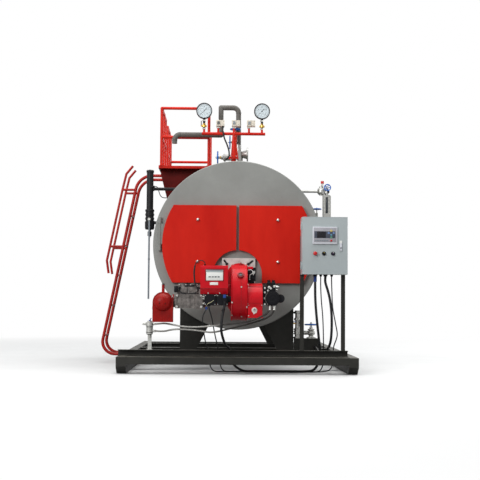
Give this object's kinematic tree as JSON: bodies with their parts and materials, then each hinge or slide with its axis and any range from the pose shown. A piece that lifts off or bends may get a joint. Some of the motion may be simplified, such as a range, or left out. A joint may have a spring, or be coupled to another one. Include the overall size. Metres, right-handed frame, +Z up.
{
  "type": "industrial boiler",
  "caption": "Horizontal fire-tube steam boiler on a skid, with hinged front doors round a dual-fuel burner, control cabinet, gauge header, level gauges, platform and ladder.",
  "frame": {"origin": "on the ground, under the middle of the bounding box", "axes": "+Y from the burner's front to the flue at the back, +X to the cabinet's side, +Z up"},
  "size_m": [2.8163, 4.204, 2.9223],
  "materials": {
    "skid_paint": "satin",
    "shell_paint": "satin",
    "door_paint": "satin",
    "burner_paint": "gloss",
    "rail_paint": "satin",
    "panel_paint": "satin",
    "wheel_paint": "gloss",
    "bare_steel": "satin",
    "cast_alloy": "cast",
    "black_steel": "satin",
    "black_plastic": "matte",
    "cream_plastic": "matte",
    "button_red": "gloss",
    "black_rubber": "matte"
  },
  "bodies": {
    "boiler": {"skid_runners": "skid_paint", "front_beam": "skid_paint", "cross_members": "skid_paint", "front_channel": "skid_paint", "saddles": "skid_paint", "boiler_shell": "shell_paint", "front_plate": "shell_paint", "tube_sheet": "shell_paint", "rear_plate": "shell_paint", "rear_smoke_box": "shell_paint", "door_hinges": "shell_paint", "burner_flange": "bare_steel", "burner_housing": "burner_paint", "burner_air_box": "burner_paint", "burner_control_box": "burner_paint", "burner_switch_boxes": "black_plastic", "oil_pump": "black_plastic", "gas_valve_block": "cast_alloy", "gas_regulator": "burner_paint", "gas_pipe": "burner_paint", "oil_filter": "cast_alloy", "cabinet_box": "panel_paint", "cabinet_stand": "skid_paint", "platform_deck": "rail_paint", "platform_guard": "rail_paint", "platform_brackets": "rail_paint", "ladder": "rail_paint", "gauge_header": "rail_paint", "pressure_gauges": "black_steel", "pressure_switches": "cream_plastic", "main_steam_valve": "bare_steel", "safety_valve": "bare_steel", "vent_pipe": "skid_paint", "level_column": "black_steel", "level_gauge": "bare_steel", "side_valve": "bare_steel", "feed_line": "bare_steel", "cable_glands": "black_plastic", "main_cable": "black_rubber", "signal_cable": "black_rubber", "sensor_cable": "black_rubber", "pump_cable": "black_rubber", "header_cable": "black_rubber", "column_cable": "black_rubber", "valve_cable": "black_rubber", "box_cable": "black_rubber", "supply_hose": "black_rubber", "return_hose": "black_rubber"},
    "left_door": {"door_left": "door_paint"},
    "right_door": {"door_right": "door_paint"},
    "panel_door": {"cabinet_door": "panel_paint"},
    "stop_button": {"emergency_stop": "button_red"},
    "mode_knob": {"mode_switch": "black_plastic"},
    "fuel_knob": {"fuel_switch": "black_plastic"},
    "steam_handwheel": {"main_steam_wheel": "wheel_paint"},
    "header_handwheel": {"header_valve_wheel": "wheel_paint"},
    "vent_handwheel": {"vent_valve_wheel": "wheel_paint"},
    "level_handwheel": {"level_gauge_wheel": "wheel_paint"},
    "side_handwheel": {"side_valve_wheel": "wheel_paint"},
    "feed_handwheel": {"feed_valve_wheel": "wheel_paint"}
  },
  "joints": [
    {"name": "left_door_hinge", "type": "hinge", "parent": "boiler", "child": "left_door", "pos_m": [-0.6515, -1.5295, 1.449], "axis": [0, 0, -1], "range_deg": [0, 110]},
    {"name": "right_door_hinge", "type": "hinge", "parent": "boiler", "child": "right_door", "pos_m": [1.0045, -1.5295, 1.449], "axis": [0, 0, 1], "range_deg": [0, 45]},
    {"name": "panel_door_hinge", "type": "hinge", "parent": "boiler", "child": "panel_door", "pos_m": [0.8175, -1.987, 1.312], "axis": [0, 0, -1], "range_deg": [0, 110]},
    {"name": "stop_press", "type": "slide", "parent": "panel_door", "child": "stop_button", "axis": [0, 1, 0], "range_m": [0, 0.005]},
    {"name": "mode_turn", "type": "hinge", "parent": "panel_door", "child": "mode_knob", "pos_m": [1.0475, -2.007, 1.231], "axis": [0, 1, 0], "range_deg": [0, 60]},
    {"name": "fuel_turn", "type": "hinge", "parent": "panel_door", "child": "fuel_knob", "pos_m": [1.1395, -2.007, 1.231], "axis": [0, 1, 0], "range_deg": [0, 60]},
    {"name": "steam_wheel_turn", "type": "hinge", "parent": "boiler", "child": "steam_handwheel", "pos_m": [-0.0435, -1.062, 2.334], "axis": [1, 0, 0], "range_deg": [0, 1080]},
    {"name": "header_wheel_turn", "type": "hinge", "parent": "boiler", "child": "header_handwheel", "pos_m": [0.1515, -1.152, 2.638], "axis": [0, 0, 1], "range_deg": [0, 720]},
    {"name": "vent_wheel_turn", "type": "hinge", "parent": "boiler", "child": "vent_handwheel", "pos_m": [0.0915, -1.062, 2.506], "axis": [1, 0, 0], "range_deg": [0, 720]},
    {"name": "level_wheel_turn", "type": "hinge", "parent": "boiler", "child": "level_handwheel", "pos_m": [1.1605, -1.26, 1.988], "axis": [0, 1, 0], "range_deg": [0, 720]},
    {"name": "side_wheel_turn", "type": "hinge", "parent": "boiler", "child": "side_handwheel", "pos_m": [1.0685, -1.002, 1.773], "axis": [0, 0, 1], "range_deg": [0, 720]},
    {"name": "feed_wheel_turn", "type": "hinge", "parent": "boiler", "child": "feed_handwheel", "pos_m": [0.9825, -1.292, 0.492], "axis": [0, 0, 1], "range_deg": [0, 1080]}
  ]
}
